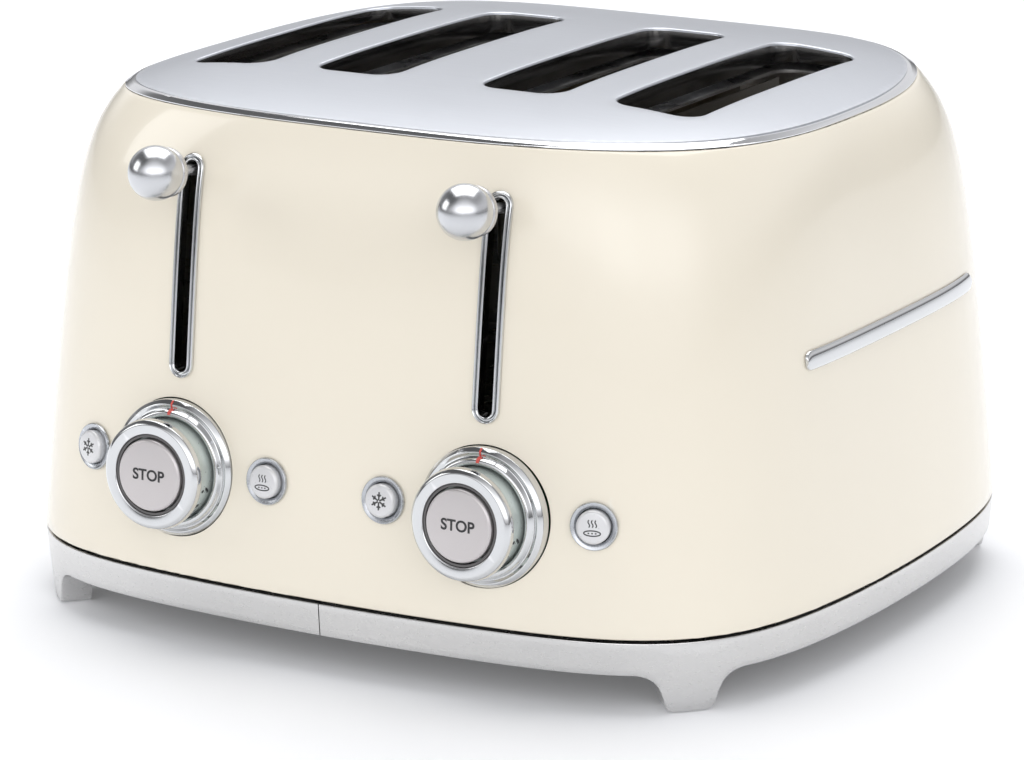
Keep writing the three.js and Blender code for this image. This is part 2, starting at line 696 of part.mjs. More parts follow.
// Dials: a stepped dish in the wall, a turning knob with a bright front ring, and a stop button in it.
const hubDepth = board.y - board.encoder - slack - 0.4 - facePoint(dial.x, dial.z).y;
const stopHead = stop.out - 4 - slack;
const wellFloor = stopHead - pressTravel - slack;
const bezelProfile = [
  [dial.hub + slack + 1, -3.4],
  [bezelRadius - 2.6, -3.4],
  [bezelRadius, -2.4],
  [bezelRadius, 1.6],
  [bezelRadius - 1.6, 3.2],
  [bezelRadius - 3.2, 2.7],
  [bezelRadius - 4.2, 4.6],
  [bezelRadius - 5.4, 4.9],
  [dial.skirt + slack, 4.2],
  [dial.skirt + slack, 0.2],
  [dial.hub + slack + 1, 0.2],
];
const dialProfile = [
  [dial.bore, -hubDepth],
  [dial.hub, -hubDepth],
  [dial.hub, 1.2],
  [dial.skirt, 1.2],
  [dial.skirt - 0.6, dial.frontOut - 4.6],
  [dial.radius, dial.frontOut - 3.6],
  [dial.radius - 0.5, dial.frontOut - 1.2],
  [dial.radius - 1.9, dial.frontOut],
  [stop.radius + 1.7, dial.frontOut - 0.3],
  [stop.radius + slack, dial.frontOut - 1.4],
  [stop.radius + slack, wellFloor],
  [dial.bore, wellFloor],
];
const stopProfile = [
  [0, pressTravel - hubDepth],
  [dial.bore - slack, pressTravel - hubDepth],
  [dial.bore - slack, stopHead],
  [stop.radius, stopHead],
  [stop.radius, stop.out - 0.7],
  [stop.radius - 0.7, stop.out],
  [0, stop.out + 0.1],
];
for (const [name] of sides) {
  const frame = dialPlaces[name];
  part(`dial_bezel_${name}`, turned(bezelProfile, frame), chrome);
  part(`dial_${name}`, turned(dialProfile, frame), dialSilver);
  part(`stop_button_${name}`, turned(stopProfile, frame), capSilver);
}

// Function buttons: a dished ring in the wall and a cap that is pressed in.
const ringProfile = [
  [button.radius + slack / 2, -3],
  [button.ring - 1.6, -3],
  [button.ring - 1.6, gap],
  [button.ring, gap],
  [button.ring - 0.4, 1.4],
  [button.radius + 1, 1],
  [button.radius + slack / 2, 0.3],
];
const capProfile = [
  [0, -7.5],
  [button.stem, -7.5],
  [button.stem, -1 - pressTravel],
  [button.radius, -1 - pressTravel],
  [button.radius, button.out - 0.8],
  [button.radius - 0.8, button.out],
  [0, button.out + 0.2],
];
for (const { name, frame } of buttonPlaces) {
  part(`button_ring_${name}`, turned(ringProfile, frame, 16), satinAluminium);
  part(`button_${name}`, turned(capProfile, frame, 16), capSilver);
}

// Control boards: a circuit board behind each dial, with the encoder, the switches and the magnet.
for (const [name, side] of sides) {
  const back = board.y + board.thickness;
  const sheet = block(span(side, board.inner, board.outer), [board.y, back], [rodFoot, board.top]);
  const encoder = block(
    span(side, dial.x - 9, dial.x + 9),
    [board.y - board.encoder, board.y + 0.2],
    [dial.z - 9, dial.z + 9],
  );
  const coil = block(
    span(side, lever.x + magnet.x - magnet.width / 2, lever.x + magnet.x + magnet.width / 2),
    [back - 0.2, back + magnet.depth],
    [magnet.bottom, magnet.bottom + magnet.height],
  );
  part(`control_board_${name}`, join(sheet, encoder, coil), circuitBoard);
}

// Crumb trays: shallow trays under the slots that pull out at the back by their faces.
for (const [name, side] of sides) {
  const [low, high] = span(side, trayCentre - tray.halfWidth, trayCentre + tray.halfWidth);
  const wallY = facePoint(side * trayCentre, trayFace.bottom + trayFace.height / 2, 1).y;
  const body = block([low, high], [tray.front, wallY], [tray.floor, tray.floor + tray.lipHeight]);
  const hollow = block(
    [low + tray.thickness, high - tray.thickness],
    [tray.front + tray.thickness, wallY - 8],
    [tray.floor + tray.thickness, tall],
  );
  const face = block(
    [low, high],
    [wallY - 5, wallY - 5 + trayFace.thickness],
    [trayFace.bottom, trayFace.bottom + trayFace.height],
  );
  const grip = block(
    [side * trayCentre - 16, side * trayCentre + 16],
    [wallY - 4, wallY + trayFace.grip - 3],
    [trayFace.bottom + 4, trayFace.bottom + 7],
  );
  part(`crumb_tray_${name}`, join(cut(body, hollow), face, grip), sheetSteel);
}

// Cord gland: the ring in the back wall that the mains cord leaves by.
const glandFrame = frameAt(facePoint(0, gland.z, 1), up);
const glandProfile = [
  [gland.hole, -4],
  [gland.radius - 2 - gap, -4],
  [gland.radius - 2 - gap, gap],
  [gland.radius, gap],
  [gland.radius, 1.6],
  [gland.hole + 1.8, gland.out],
  [gland.hole, gland.out],
];
part("cord_gland", turned(glandProfile, glandFrame, 16), blackPlastic);

// Side trim: a plain bright bar on the right wall, on two hidden pins.
function wallAt(y, z) {
  const level = (z - casingBottom) / (meanRim - casingBottom);
  const size = basePlan.halfDepth;
  let low = -Math.PI / 2;
  let high = Math.PI / 2;
  for (let halvings = 0; halvings < 40; halvings++) {
    const angle = (low + high) / 2;
    if (casingPoint(level, angle).y < Math.min(y, size)) low = angle;
    else high = angle;
  }
  return casingPoint(level, low).x;
}
const trimStations = [-1, -0.985, -0.95, -0.75, -0.5, -0.25, 0, 0.25, 0.5, 0.75, 0.95, 0.985, 1];
const trimRings = trimStations.map((along) => {
  const y = trim.y + (along * trim.length) / 2;
  const fromEnd = Math.min(1, ((1 - Math.abs(along)) * trim.length) / trim.height);
  const half = (trim.height / 2) * (0.3 + 0.7 * Math.sqrt(1 - (1 - fromEnd) ** 2));
  return [[half, gap], [half * 0.6, trim.out], [-half * 0.6, trim.out], [-half, gap]].map(
    ([high, out]) => new THREE.Vector3(wallAt(y, trim.z + high) + out, y, trim.z + high),
  );
});
part("side_trim", loft(trimRings, false), chrome);

// The origin is on the table under the middle of the whole toaster, knobs and levers included.
const reach = new THREE.Box3().setFromObject(toaster);
toaster.position.y = -(reach.min.y + reach.max.y) / 2;

export default toaster;
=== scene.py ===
import math

import bmesh
import bpy
import numpy as np
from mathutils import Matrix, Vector
from mathutils.geometry import delaunay_2d_cdt


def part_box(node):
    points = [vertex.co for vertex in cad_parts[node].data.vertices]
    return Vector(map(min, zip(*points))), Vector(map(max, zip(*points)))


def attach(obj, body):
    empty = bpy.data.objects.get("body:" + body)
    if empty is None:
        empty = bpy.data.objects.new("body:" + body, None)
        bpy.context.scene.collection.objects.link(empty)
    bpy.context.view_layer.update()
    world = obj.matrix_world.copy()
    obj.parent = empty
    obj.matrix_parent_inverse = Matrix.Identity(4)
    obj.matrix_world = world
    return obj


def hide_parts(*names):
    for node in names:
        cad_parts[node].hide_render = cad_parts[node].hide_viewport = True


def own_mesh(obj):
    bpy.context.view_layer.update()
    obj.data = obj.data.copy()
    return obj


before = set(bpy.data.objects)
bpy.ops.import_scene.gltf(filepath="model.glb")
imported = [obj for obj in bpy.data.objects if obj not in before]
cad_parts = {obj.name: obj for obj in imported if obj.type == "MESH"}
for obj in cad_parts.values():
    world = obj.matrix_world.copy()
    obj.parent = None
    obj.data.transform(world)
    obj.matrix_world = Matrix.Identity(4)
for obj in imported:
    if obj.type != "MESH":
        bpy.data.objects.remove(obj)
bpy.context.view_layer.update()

# Camera, floor and light. The camera looks down a little on the front and the right side. The floor
# is one plain white sheet, under a broad soft light from above and weaker ones from front and left.
camera = bpy.data.objects.new("camera", bpy.data.cameras.new("camera"))
bpy.context.scene.collection.objects.link(camera)
bpy.context.scene.camera = camera
camera.data.sensor_width = 36
camera.data.lens = 162.71
camera.data.shift_x = -0.0664
camera.data.shift_y = -0.0116
camera.data.clip_end = 60
camera.location = (0.8626, -1.4798, 0.5306)
camera.rotation_mode = "QUATERNION"
camera.rotation_quaternion = Vector((-0.4753, 0.8426, -0.2534)).to_track_quat("-Z", "Y")
bpy.context.scene.view_settings.view_transform = "Standard"

for name, size, power, spot, target in (
    ("light_above", 1.9, 27, (-0.3, 0.5, 1.65), (0, 0, 0)),
    ("light_front", 0.7, 0.6, (0.75, -1.9, 0.75), (0, 0, 0.1)),
    ("light_left", 0.8, 4.2, (-1.5, -0.9, 0.8), (0, 0, 0.1)),
):
    lamp = bpy.data.objects.new(name, bpy.data.lights.new(name, "AREA"))
    lamp.data.size = size
    lamp.data.energy = power
    lamp.location = spot
    lamp.rotation_mode = "QUATERNION"
    lamp.rotation_quaternion = (Vector(target) - Vector(spot)).to_track_quat("-Z", "Y")
    lamp.visible_camera = False
    bpy.context.scene.collection.objects.link(lamp)

# The room is dark low down, brightest a little above the floor and dimmer overhead. The wall in front
# is brighter still, and the one up on the left is dark.
studio = bpy.data.worlds.new("studio")
bpy.context.scene.world = studio
studio.use_nodes = True
studio.node_tree.nodes.clear()
add_node, wire = studio.node_tree.nodes.new, studio.node_tree.links.new
way = add_node("ShaderNodeTexCoord")
parts = add_node("ShaderNodeSeparateXYZ")
walls = add_node("ShaderNodeValToRGB")
walls.color_ramp.elements[0].color = (0.2, 0.2, 0.205, 1)
walls.color_ramp.elements[1].color = (0.55, 0.55, 0.56, 1)
for height, grey in ((0.1, 0.45), (0.2, 1.0), (0.42, 0.95), (0.7, 0.55)):
    walls.color_ramp.elements.new(height).color = (grey, grey, grey * 1.02, 1)
both = add_node("ShaderNodeMath")
both.operation = "MULTIPLY"
for socket, (direction, edge, middle, far_strength, near_strength) in enumerate((
    ((0.5, -0.83, 0.25), 0.55, 0.96, 0.78, 2.1),
    ((-0.75, -0.2, 0.62), 0.66, 0.86, 1.0, 0.3),
)):
    facing = add_node("ShaderNodeVectorMath")
    facing.operation = "DOT_PRODUCT"
    facing.inputs[1].default_value = direction
    patch = add_node("ShaderNodeMapRange")
    patch.interpolation_type = "SMOOTHSTEP"
    patch.inputs["From Min"].default_value = edge
    patch.inputs["From Max"].default_value = middle
    patch.inputs["To Min"].default_value = far_strength
    patch.inputs["To Max"].default_value = near_strength
    wire(way.outputs["Generated"], facing.inputs[0])
    wire(facing.outputs["Value"], patch.inputs[0])
    wire(patch.outputs[0], both.inputs[socket])
room = add_node("ShaderNodeBackground")
backdrop = add_node("ShaderNodeBackground")
backdrop.inputs["Color"].default_value = (1, 1, 1, 1)
backdrop.inputs["Strength"].default_value = 1.1
seen = add_node("ShaderNodeLightPath")
either = add_node("ShaderNodeMixShader")
sky = add_node("ShaderNodeOutputWorld")
wire(way.outputs["Generated"], parts.inputs[0])
wire(parts.outputs["Z"], walls.inputs[0])
wire(walls.outputs[0], room.inputs["Color"])
wire(both.outputs[0], room.inputs["Strength"])
wire(seen.outputs["Is Camera Ray"], either.inputs[0])
wire(room.outputs[0], either.inputs[1])
wire(backdrop.outputs[0], either.inputs[2])
wire(either.outputs[0], sky.inputs[0])

floor_mesh = bpy.data.meshes.new("floor")
floor_mesh.from_pydata([(-9, -9, 0), (9, -9, 0), (9, 9, 0), (-9, 9, 0)], [], [(0, 1, 2, 3)])
floor = bpy.data.objects.new("floor", floor_mesh)
bpy.context.scene.collection.objects.link(floor)
paper = bpy.data.materials.new("white_paper")
paper.use_nodes = True
sheet_look = paper.node_tree.nodes["Principled BSDF"].inputs
sheet_look["Base Color"].default_value = (0.9, 0.91, 0.93, 1)
sheet_look["Roughness"].default_value = 0.9
sheet_look["Emission Color"].default_value = (1, 1, 1, 1)
sheet_look["Emission Strength"].default_value = 0.1
sheet_look["Specular IOR Level"].default_value = 0.1
floor_mesh.materials.append(paper)


# Feet: four soft rubber pads, pushed into the undersides of the legs. They carry the toaster, and
# their rubber is dull, with a fine moulded grain.
def surface(name, colour, roughness, metallic=0.0, grain=(900, 900, 900), uneven=0.05, relief=0.05,
            tone=0.03, worn=None, coat=0.0):
    """A finish with a fine grain, patches of tone, and edges that handling has worn."""
    made = bpy.data.materials.new(name)
    made.use_nodes = True
    tree = made.node_tree
    shader = tree.nodes["Principled BSDF"]
    shader.inputs["Metallic"].default_value = metallic
    shader.inputs["Coat Weight"].default_value = coat
    shader.inputs["Coat Roughness"].default_value = 0.04
    spot = tree.nodes.new("ShaderNodeTexCoord")
    drawn = tree.nodes.new("ShaderNodeMapping")
    drawn.inputs["Scale"].default_value = grain
    tree.links.new(spot.outputs["Object"], drawn.inputs["Vector"])
    fine = tree.nodes.new("ShaderNodeTexNoise")
    fine.inputs["Scale"].default_value = 1.0
    fine.inputs["Detail"].default_value = 4.0
    tree.links.new(drawn.outputs[0], fine.inputs["Vector"])
    broad = tree.nodes.new("ShaderNodeTexNoise")
    broad.inputs["Scale"].default_value = 14.0
    broad.inputs["Detail"].default_value = 3.0
    tree.links.new(spot.outputs["Object"], broad.inputs["Vector"])
    tones = tree.nodes.new("ShaderNodeValToRGB")
    low, high = tones.color_ramp.elements
    low.position, high.position = 0.35, 0.65
    low.color = (*[c * (1 - tone) for c in colour], 1)
    high.color = (*[min(1, c * (1 + tone)) for c in colour], 1)
    tree.links.new(broad.outputs[0], tones.inputs[0])
    painted = tones.outputs[0]
    if worn:
        edge = tree.nodes.new("ShaderNodeNewGeometry")
        bare = tree.nodes.new("ShaderNodeValToRGB")
        bare.color_ramp.elements[0].position = 0.56
        bare.color_ramp.elements[1].position = 0.7
        tree.links.new(edge.outputs["Pointiness"], bare.inputs[0])
        rubbed = tree.nodes.new("ShaderNodeMix")
        rubbed.data_type = "RGBA"
        tree.links.new(bare.outputs[0], rubbed.inputs[0])
        tree.links.new(painted, rubbed.inputs[6])
        rubbed.inputs[7].default_value = (*worn, 1)
        painted = rubbed.outputs[2]
    tree.links.new(painted, shader.inputs["Base Color"])
    polish = tree.nodes.new("ShaderNodeMapRange")
    polish.inputs["From Min"].default_value = 0.3
    polish.inputs["From Max"].default_value = 0.7
    polish.inputs["To Min"].default_value = max(0.01, roughness - uneven)
    polish.inputs["To Max"].default_value = roughness + uneven
    tree.links.new(fine.outputs[0], polish.inputs[0])
    tree.links.new(polish.outputs[0], shader.inputs["Roughness"])
    raised = tree.nodes.new("ShaderNodeBump")
    raised.inputs["Strength"].default_value = relief
    raised.inputs["Distance"].default_value = 0.0001
    tree.links.new(fine.outputs[0], raised.inputs["Height"])
    tree.links.new(raised.outputs[0], shader.inputs["Normal"])
    return made


def dress(material, *names):
    """Gives CAD nodes their real finish."""
    for name in names:
        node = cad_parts[name]
        node.data.materials.clear()
        node.data.materials.append(material)


rubber = surface("foot_rubber", (0.012, 0.012, 0.012), 0.8, relief=0.4, worn=(0.03, 0.03, 0.03))
corners = [f"{end}_{side}" for end in ("front", "back") for side in ("left", "right")]
dress(rubber, *[f"foot_pad_{corner}" for corner in corners])


# Base band: a skirt of satin plated metal in two halves that meet at the front and the back, each
# with a leg at its two corners, clipped round the base.
halves = (("left", -1), ("right", 1))
forward = (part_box("deck")[0].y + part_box("deck")[1].y) * 500 - 0.5  # the deck's middle is 0.5 behind
base_plan = (164.9, 148.88, 6.8, 5.5, 0.09, 0.09)
rim_plan = (137.55, 121.95, 3.5, 2.2, -0.1, 0.01)
casing_bottom = 28.0
band_top, band_bottom, band_wall = 26.8, 14.5, 3.0
foot_lift, foot_half, leg_depth, leg_reach = 0.5, 8.8, 6.95, 20.0
taper = 2.3 / 165  # how much narrower the band is at its foot than at the casing


def plan_point(plan, angle, inset=0.0):
    """A point of a rounded plan: half width and depth, roundness of ends and faces, and bows."""
    half_width, half_depth, end_round, face_round, bow_x, bow_y = plan
    c, s = np.cos(angle), np.sin(angle)
    even = (end_round + face_round) / 4
    across, along = np.abs(c) ** even, np.abs(s) ** even
    reach = np.hypot(across, along)
    x = (across / reach) ** (2 / end_round)
    y = (along / reach) ** (2 / face_round)
    return (np.sign(c) * (half_width - inset) * x * (1 - bow_x * y * y),
            np.sign(s) * (half_depth - inset) * y * (1 - bow_y * x * x))


def skin(rings, closed_round=True, closed_along=False):
    """Points and four-sided faces over rings of equal length; open ends are capped."""
    count = len(rings[0])
    points = [tuple(p) for ring in rings for p in ring]
    faces = []
    spans = len(rings) if closed_along else len(rings) - 1
    for level in range(spans):
        low, high = level * count, ((level + 1) % len(rings)) * count
        for i in range(count if closed_round else count - 1):
            j = (i + 1) % count
            faces.append((low + i, low + j, high + j, high + i))
    if closed_round and not closed_along:
        faces.append(tuple(range(count - 1, -1, -1)))
        faces.append(tuple(range(len(points) - count, len(points))))
    return points, faces


def make_piece(name, shape, material, body, slot, *nodes, crease=32):
    """A smooth mesh piece from millimetre points, riding on a body in place of CAD nodes."""
    points, faces = shape
    mesh = bpy.data.meshes.new(name)
    mesh.from_pydata([(x / 1000, (y + forward) / 1000, z / 1000) for x, y, z in points], [], faces)
    shell = bmesh.new()
    shell.from_mesh(mesh)
    bmesh.ops.remove_doubles(shell, verts=shell.verts, dist=1e-6)
    bmesh.ops.recalc_face_normals(shell, faces=shell.faces)
    shell.to_mesh(mesh)
    shell.free()
    mesh.shade_smooth()
    mesh.set_sharp_from_angle(angle=math.radians(crease))
    mesh.materials.append(material)
    piece = bpy.data.objects.new(name, mesh)
    bpy.context.scene.collection.objects.link(piece)
    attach(piece, body)
    if nodes:
        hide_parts(*nodes)
    return piece


def leg_edge():
    """The lower edge of a leg and its flare: distance from the leg's middle, and height."""
    edge = [(0.0, foot_lift), (foot_half - 2.6, foot_lift)]
    for t in np.linspace(0.2, 1, 5):
        a, b, c = (foot_half - 2.6, foot_lift), (foot_half, foot_lift), (foot_half + 0.5, foot_lift + 2.6)
        edge.append(tuple((1 - t) ** 2 * a[i] + 2 * t * (1 - t) * b[i] + t * t * c[i] for i in (0, 1)))
    for t in np.linspace(0.08, 1, 16):
        a, b = (foot_half + 0.5, foot_lift + 2.6), (foot_half + 2, 7.0)
        c, d = (foot_half + 2.5, band_bottom - 1), (leg_reach, band_bottom)
        edge.append(tuple((1 - t) ** 3 * a[i] + 3 * t * (1 - t) ** 2 * b[i]
                          + 3 * t * t * (1 - t) * c[i] + t ** 3 * d[i] for i in (0, 1)))
    return edge


def band_columns():
    """Angles round the right half, each with the height of the lower edge and the leg's share."""
    columns = {}
    for end in (-1, 1):
        middle = np.array(plan_point(base_plan, end * math.pi / 4))
        away = math.atan2(end * base_plan[0], base_plan[1])
        along = np.array((-math.sin(away), math.cos(away)))
        for reach, height in leg_edge():
            for sign in (-1, 1):
                low, high = end * math.pi / 4 - 0.6, end * math.pi / 4 + 0.6
                for halving in range(40):
                    angle = (low + high) / 2
                    if (np.array(plan_point(base_plan, angle)) - middle) @ along < sign * reach:
                        low = angle
                    else:
                        high = angle
                share = min(1, max(0, (leg_reach - reach) / 2))
                columns[round(angle, 6)] = (height, share)
    legs = sorted(columns)
    for angle in np.linspace(-math.pi / 2, math.pi / 2, 181)[1:-1]:
        if not any(legs[i] <= angle <= legs[i + len(legs) // 2 - 1] for i in (0, len(legs) // 2)):
            columns[round(angle, 6)] = (band_bottom, 0.0)
    edge_angle = math.pi / 2 - 0.0000045
    while plan_point(base_plan, edge_angle)[0] < 0.2:
        edge_angle -= 0.00002
    columns[-edge_angle] = columns[edge_angle] = (band_bottom, 0.0)
    return sorted((angle, *facts) for angle, facts in columns.items())


def band_point(angle, z, inset):
    """A point of the band's wall, which leans in towards its foot."""
    share = 1 - taper * (1 - z / casing_bottom)
    x, y = plan_point(base_plan, angle, inset)
    return x * share, y * share, z


plated = surface("plated_band", (0.66, 0.655, 0.65), 0.24, 1.0, grain=(400, 400, 3000), uneven=0.05,
                 relief=0.03, worn=(0.85, 0.85, 0.84))
for name, side in halves:
    rings = []
    for angle, low, share in band_columns():
        inset = band_wall + 0.05 + leg_depth * share
        rise = [low + (band_top - low) * t for t in (0.2, 0.4, 0.6, 0.8)]
        ring = [band_point(angle, low, 0.5), band_point(angle, low + 0.12, 0.15),
                band_point(angle, low + 0.5, 0)]
        ring += [band_point(angle, z, 0) for z in rise]
        ring += [band_point(angle, band_top - 0.5, 0), band_point(angle, band_top - 0.12, 0.15),
                 band_point(angle, band_top, 0.5), band_point(angle, band_top, band_wall)]
        ring += [band_point(angle, max(low + 0.3, 15.05), band_wall),
                 band_point(angle, max(low + 0.3, 15.0), inset), band_point(angle, low, inset)]
        rings.append([(x * side, y, z) for x, y, z in ring])
    make_piece(f"band_{name}", skin(rings), plated, "housing", "band_metal", f"base_band_{name}", crease=40)


# Base pan: the moulded floor, in black plastic with a fine spark-eroded grain. Its wall locates the
# casing, and the rods, boards and walls stand on it.
black_plastic = surface("black_plastic", (0.014, 0.014, 0.015), 0.45, relief=0.35, uneven=0.08,
                        worn=(0.04, 0.04, 0.04))
dress(black_plastic, "base_pan")


# Chamber walls: two bare steel sheets, slotted to hold the heating boards. They stand on the base pan
# at the front and back of the bread.
bare_steel = surface("bare_sheet", (0.68, 0.67, 0.66), 0.34, 1.0, grain=(60, 60, 2200), uneven=0.1,
                     relief=0.1, tone=0.08, worn=(0.65, 0.65, 0.66))
dress(bare_steel, "chamber_wall_front", "chamber_wall_back")


# Heating boards: six mica boards wound with flat resistance ribbon, held in the slots of the chamber
# walls by their tabs. The ribbon climbs as it crosses a board and shows on both faces.
mica = surface("mica_board", (0.42, 0.36, 0.26), 0.6, grain=(500, 500, 500), relief=0.3, tone=0.2,
               worn=(0.6, 0.52, 0.4))
ribbon_alloy = surface("ribbon_alloy", (0.36, 0.34, 0.33), 0.4, 1.0, grain=(200, 3000, 200), tone=0.1,
                       worn=(0.5, 0.45, 0.4))
ribbon_turns, ribbon_foot, ribbon_pitch, ribbon_lean = 14, 56, 9.0, 4.5
ribbon_width, ribbon_thick, tab_depth = 1.4, 0.18, 6.8


def block_shape(low, high):
    (x0, y0, z0), (x1, y1, z1) = low, high
    return skin([[(x0, y0, z), (x1, y0, z), (x1, y1, z), (x0, y1, z)] for z in (z0, z1)])


def together(shapes):
    """Several shapes as one list of points and one of faces."""
    points, faces = [], []
    for own_points, own_faces in shapes:
        start = len(points)
        points += own_points
        faces += [tuple(start + i for i in face) for face in own_faces]
    return points, faces


for name, side in halves:
    for place in ("centre", "middle", "outer"):
        node = f"heating_board_{place}_{name}"
        dress(mica, node)
        low, high = [corner * 1000 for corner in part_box(node)]
        y0, y1 = low.y - forward + tab_depth, high.y - forward - tab_depth
        turns = []
        for i in range(ribbon_turns):
            z = ribbon_foot + i * ribbon_pitch
            for x, rise in ((low.x - 0.22, 0), (high.x + 0.04, ribbon_lean)):
                far = x + ribbon_thick
                turns.append(skin([[(x, y, foot), (far, y, foot),
                                    (far, y, foot + ribbon_width), (x, y, foot + ribbon_width)]
                                   for y, foot in ((y0, z + rise), (y1, z + rise + ribbon_lean))]))
        make_piece(f"ribbon_{place}_{name}", together(turns), ribbon_alloy, "housing", "wire_steel")


# Bread guards: pressed steel grids, bright and slightly tinted by the heat. They hang from the deck
# on both sides of each slice and close in on it with the lever.
wire_steel = surface("wire_steel", (0.62, 0.61, 0.6), 0.22, 1.0, grain=(400, 400, 1500), relief=0.08,
                     tone=0.07, worn=(0.75, 0.74, 0.72))
places = [f"{name}_{place}" for name, side in halves for place in ("inner", "outer")]
for facing in ("inward", "outward"):
    dress(wire_steel, *[f"bread_guard_{place}_{facing}" for place in places])


# Bread racks: flat steel bars with rungs that the bread stands on. They reach through slits in the
# front chamber wall and are fixed to the carriages, so they sink with the levers.
dress(wire_steel, *[f"bread_rack_{place}" for place in places])


# Carriages: a pressed steel web on a sliding bush, with the lever's arm and a cross bar that carries
# the racks. Each slides up and down on its guide rod.
dress(bare_steel, *[f"carriage_{name}" for name, side in halves])


# Guide rods: ground and polished steel, standing on the base pan. They steer the carriages, and each
# has its lift spring round it.
dress(wire_steel, *[f"guide_rod_{name}" for name, side in halves])


# Control boards: green circuit boards, upright behind the dials and buttons, each with its dial's
# encoder and the magnet that holds the lever down.
circuit_green = surface("circuit_green", (0.02, 0.13, 0.05), 0.4, grain=(700, 700, 700), relief=0.3,
                        tone=0.25, worn=(0.2, 0.3, 0.15))
dress(circuit_green, *[f"control_board_{name}" for name, side in halves])


# Lift springs: coils of hard-drawn wire round the guide rods, which push the carriages up and are
# pressed together when a lever is held down.
spring_turns, spring_radius, spring_wire, steps_per_turn = 8, 6.0, 0.7, 28
for name, side in halves:
    low, high = [corner * 1000 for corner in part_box(f"lift_spring_{name}")]
    centre_x, centre_y = (low.x + high.x) / 2, (low.y + high.y) / 2 - forward
    bottom, top = low.z + spring_wire, high.z - spring_wire
    rings = []
    steps = spring_turns * steps_per_turn
    for i in range(steps + 1):
        turn = i / steps_per_turn * 2 * math.pi
        z = bottom + (top - bottom) * i / steps
        outward = (math.cos(turn), math.sin(turn))
        rings.append([(centre_x + outward[0] * (spring_radius + spring_wire * math.cos(a)),
                       centre_y + outward[1] * (spring_radius + spring_wire * math.cos(a)),
                       z + spring_wire * math.sin(a)) for a in np.linspace(0, 2 * math.pi, 11)[:-1]])
    spring = make_piece(f"spring_{name}", skin(rings), wire_steel, "housing", "wire_steel",
                        f"lift_spring_{name}", crease=60)
    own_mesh(spring)


# Casing: one wrapped steel sheet under thick glossy cream enamel, open below and above, with its
# holes pierced before it was fired. It stands on the pan inside the band.
crown_height, side_drop, end_drop = 205.4, 10.9, 7.4
mean_rim = crown_height - (side_drop + end_drop) / 2


def crown(x, y):
    """The height of the domed top over a point of the plan."""
    return (crown_height - side_drop * np.abs(x / rim_plan[0]) ** 4.5
            - end_drop * np.abs(y / rim_plan[1]) ** 3)


def casing_point(level, angle, inset=0.0):
    """A point of the outer wall, at a level from 0 at its foot to 1 at the rim."""
    lean = 0.73 * level + 0.27 * level ** 9
    plan = [a + (b - a) * lean for a, b in zip(base_plan, rim_plan)]
    x, y = plan_point(plan, angle, inset)
    rim = crown(*plan_point(rim_plan, angle))
    return x, y, casing_bottom + level * (mean_rim - casing_bottom) + level ** 3 * (rim - mean_rim)


def face_point(x, z, side=-1):
    """Where the front (-1) or back wall stands at a distance across and a height."""
    x, z = np.broadcast_arrays(np.asarray(x, float), np.asarray(z, float))
    level = (z - casing_bottom) / (mean_rim - casing_bottom)
    for tries in range(12):
        low, high = np.zeros_like(x), np.full_like(x, math.pi)
        for halving in range(36):
            angle = (low + high) / 2
            found = casing_point(level, angle * side)
            low = np.where(found[0] > x, angle, low)
            high = np.where(found[0] > x, high, angle)
        level = level + (z - found[2]) / (mean_rim - casing_bottom)
    return found


def casing_ring(level, inset=0.0, up=0.0, count=384):
    x, y, z = casing_point(level, (np.arange(count) + 0.5) * 2 * math.pi / count, inset)
    return list(zip(x, y, z + up))


def front_frame(x, z, tilt=None):
    """A point of the front wall with its right, up and outward directions."""
    origin = Vector([float(v) for v in face_point(x, z)])
    if tilt is None:
        across = [Vector([float(v) for v in face_point(x + d, z)]) for d in (-2, 2)]
        rise = [Vector([float(v) for v in face_point(x, z + d)]) for d in (-2, 2)]
        outward = (across[1] - across[0]).cross(rise[1] - rise[0]).normalized()
    else:
        outward = Vector((0, -math.cos(math.radians(tilt)), math.sin(math.radians(tilt))))
    high = (Vector((0, 0, 1)) - outward * outward.z).normalized()
    return origin, high.cross(outward), high, outward


def eased(profile, radius=0.35, steps=4):
    """A profile with its corners rounded over."""
    made = [profile[0]]
    for before, corner, after in zip(profile, profile[1:], profile[2:]):
        p, a, b = (np.array(q, float) for q in (corner, before, after))
        near = [(a - p) / max(1e-9, np.hypot(*(a - p))), (b - p) / max(1e-9, np.hypot(*(b - p)))]
        r = min(radius, 0.45 * np.hypot(*(a - p)), 0.45 * np.hypot(*(b - p)))
        for t in np.linspace(0, 1, steps + 1):
            made.append(tuple((1 - t) ** 2 * (p + near[0] * r) + 2 * t * (1 - t) * p
                              + t * t * (p + near[1] * r)))
    return made + [profile[-1]]


def turned(profile, place, sides=96, radius=0.35):
    """A turned piece from [radius, distance out] pairs, on a frame of the front wall."""
    origin, right, high, outward = place
    hollow = profile[0][0] > 0
    if hollow:
        middle = tuple((a + b) / 2 for a, b in zip(profile[0], profile[1]))
        profile = [middle, *profile[1:], profile[0], middle]
    line = eased(profile, radius)
    if hollow:
        line = line[:-1]
    rings = []
    for i in range(sides):
        a = 2 * math.pi * i / sides
        side_way = high * math.cos(a) + right * math.sin(a)
        rings.append([tuple(origin + side_way * r + outward * out) for r, out in line])
    return skin(rings, closed_round=hollow, closed_along=True)


def prism(outline, low, high):
    """An outline in x and z pushed through the wall along y."""
    return skin([[(x, y, z) for x, z in outline] for y in (low, high)])


def round_ended(x, z0, z1, half, steps=12):
    """The outline of an upright slot with round ends."""
    outline = []
    for centre, start in ((z1 - half, 0), (z0 + half, math.pi)):
        for i in range(steps + 1):
            a = start + math.pi * i / steps
            outline.append((x + half * math.cos(a), centre + half * math.sin(a)))
    return outline


